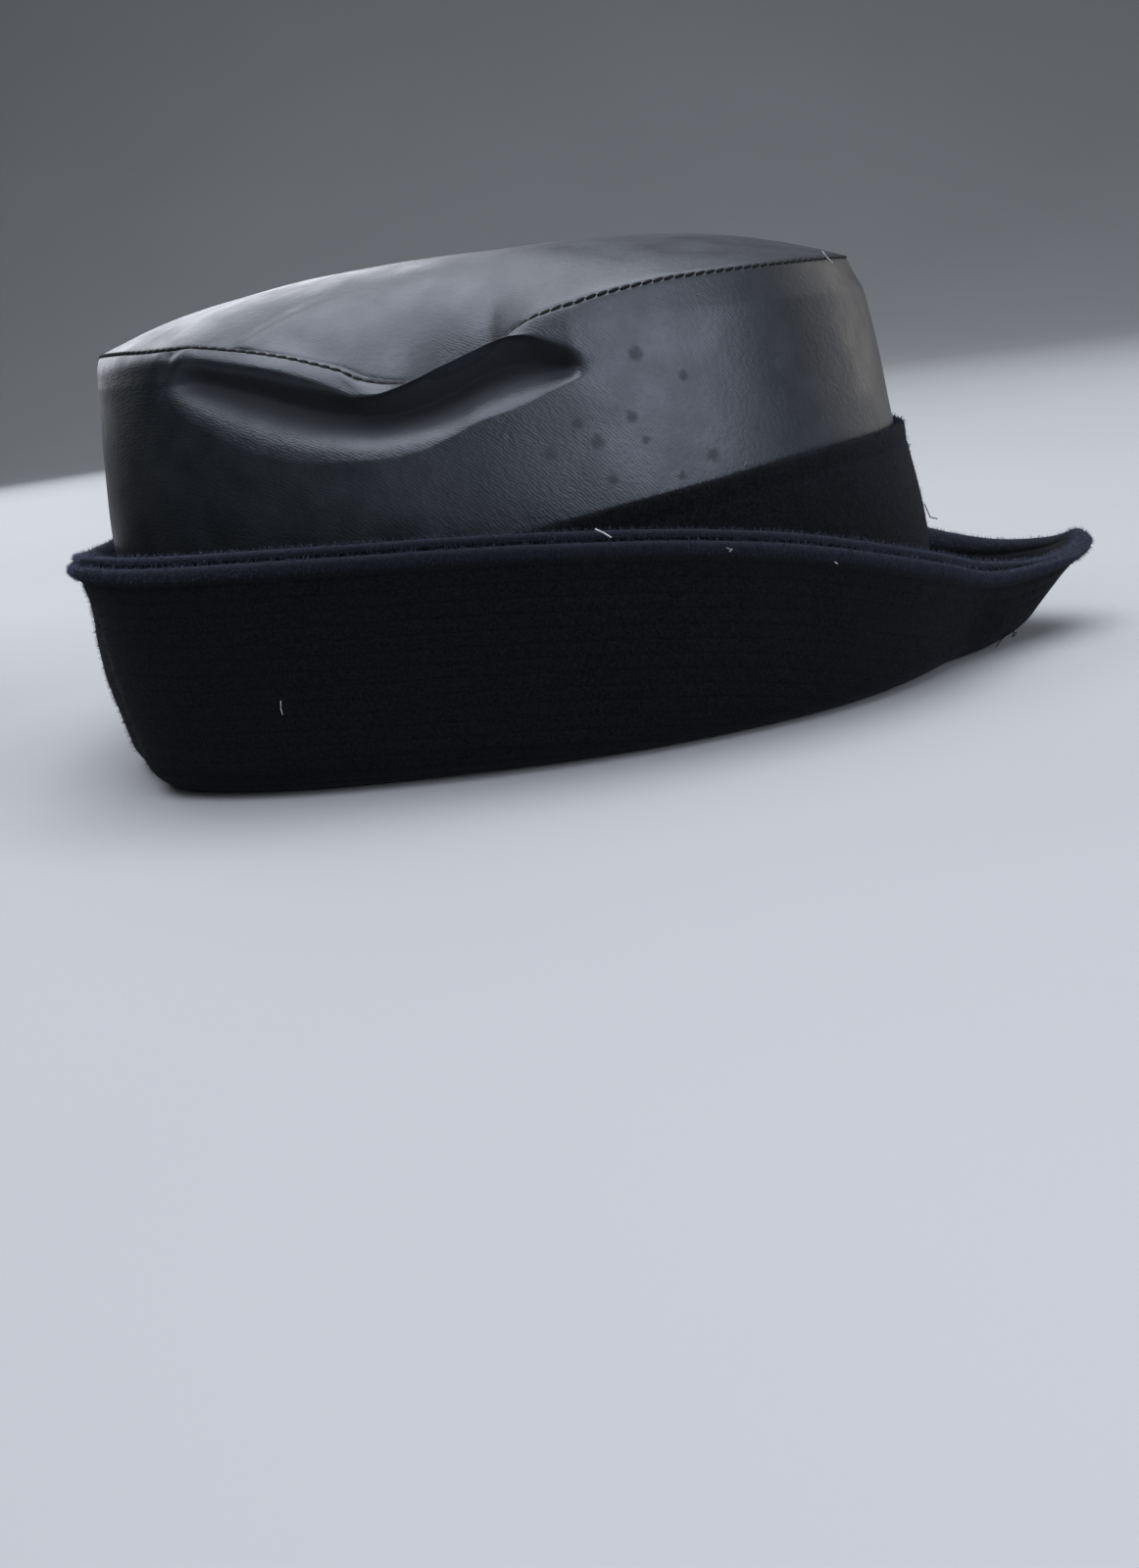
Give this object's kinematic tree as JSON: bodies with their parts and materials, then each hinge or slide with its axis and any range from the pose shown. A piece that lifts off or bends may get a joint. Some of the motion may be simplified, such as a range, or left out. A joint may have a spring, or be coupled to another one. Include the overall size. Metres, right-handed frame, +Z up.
{
  "type": "tricorn hat",
  "caption": "Soft tricorn uniform hat: domed crown of coated cloth with a dent, a wool band round its foot and a wool brim turned up to a pointed bow in front.",
  "frame": {"origin": "middle of the hat's box, on the surface that the hat rests on", "axes": "+X towards the bow at the wearer's front, +Z up, -Y to the wearer's right, where the crown's dent is"},
  "size_m": [0.2622, 0.2112, 0.1143],
  "materials": {
    "crown_side_cloth": "semi-gloss coated waterproof cloth, dark blue-grey",
    "crown_top_cloth": "semi-gloss coated waterproof cloth, dark blue-grey",
    "band_wool": "matt navy wool cloth",
    "outer_wool": "matt navy wool cloth, stitched in rows",
    "inner_wool": "matt navy wool cloth, stitched in rows"
  },
  "bodies": {
    "root": {"crown_side": "crown_side_cloth", "crown_top": "crown_top_cloth", "hat_band": "band_wool", "brim_outer": "outer_wool", "brim_inner": "inner_wool"}
  },
  "joints": []
}
